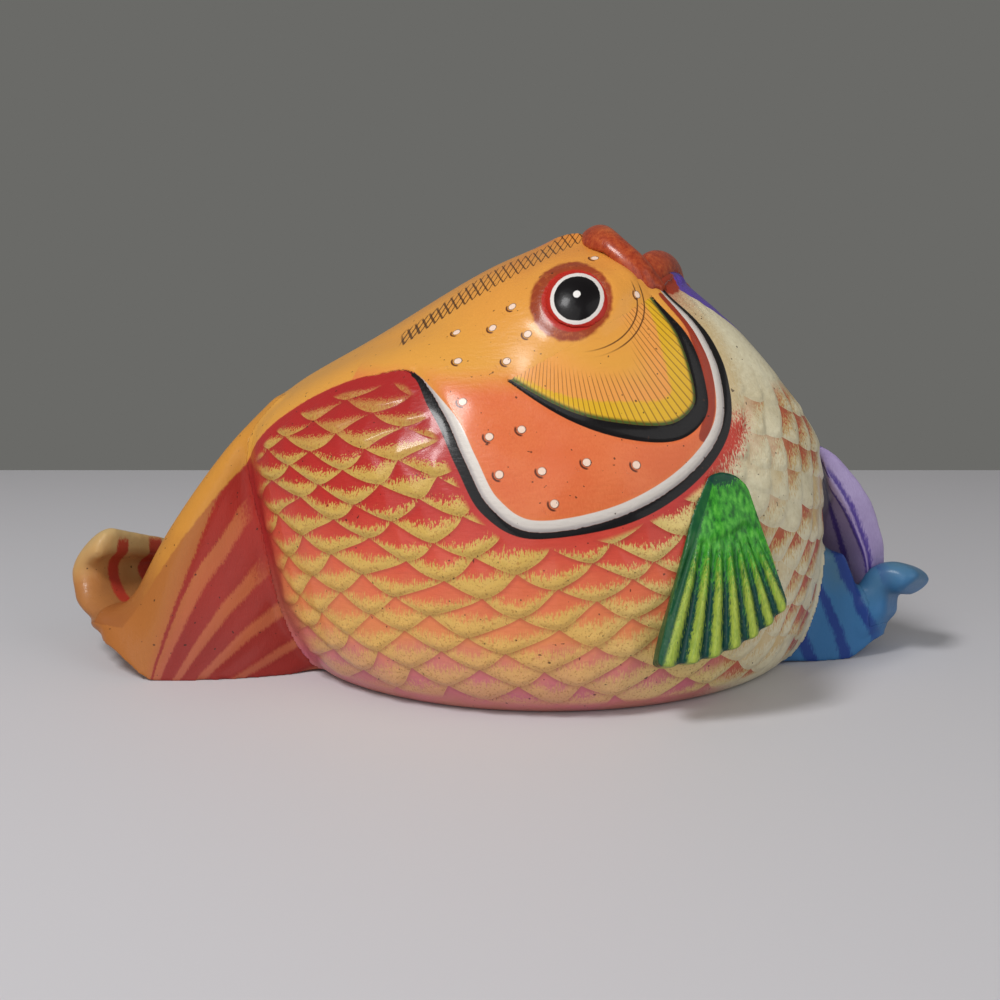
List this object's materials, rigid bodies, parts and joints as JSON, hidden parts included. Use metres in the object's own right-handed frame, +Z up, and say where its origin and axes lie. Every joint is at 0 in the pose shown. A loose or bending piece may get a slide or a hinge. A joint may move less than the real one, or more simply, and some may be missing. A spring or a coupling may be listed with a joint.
{
  "type": "fish figurine",
  "caption": "Hollow earthenware fish that sits on its round belly with its mouth turned up, with ribbed fins and curled tail lobes, hand painted.",
  "frame": {"origin": "middle of the flat slab under the belly, on the surface that the fish sits on", "axes": "+Z up, -X towards the end of the back ridge and the left tail lobe, -Y towards the near eye"},
  "size_m": [0.2358, 0.1218, 0.1155],
  "materials": {
    "body_paint": "hand painted and waxed, warm near side and cool far side",
    "bare_clay": "bare fired clay",
    "lip_paint": "hand painted and waxed",
    "eye_paint": "hand painted and waxed",
    "gill_paint_warm": "hand painted and waxed",
    "gill_paint_cool": "hand painted and waxed",
    "fin_paint_green": "hand painted and waxed",
    "fin_paint_purple": "hand painted and waxed",
    "tail_paint_orange": "hand painted and waxed",
    "tail_paint_blue": "hand painted and waxed"
  },
  "bodies": {
    "root": {"body_half_near": "body_paint", "body_half_far": "body_paint", "belly_slab": "bare_clay", "upper_lip": "lip_paint", "lower_lip": "lip_paint", "eye_near": "eye_paint", "eye_far": "eye_paint", "gill_cover_near": "gill_paint_warm", "gill_cover_far": "gill_paint_cool", "pectoral_fin_near": "fin_paint_green", "pectoral_fin_far": "fin_paint_purple", "tail_fan_left": "tail_paint_orange", "tail_curl_left": "tail_paint_orange", "tail_fan_right": "tail_paint_blue", "tail_curl_right": "tail_paint_blue"}
  },
  "joints": []
}
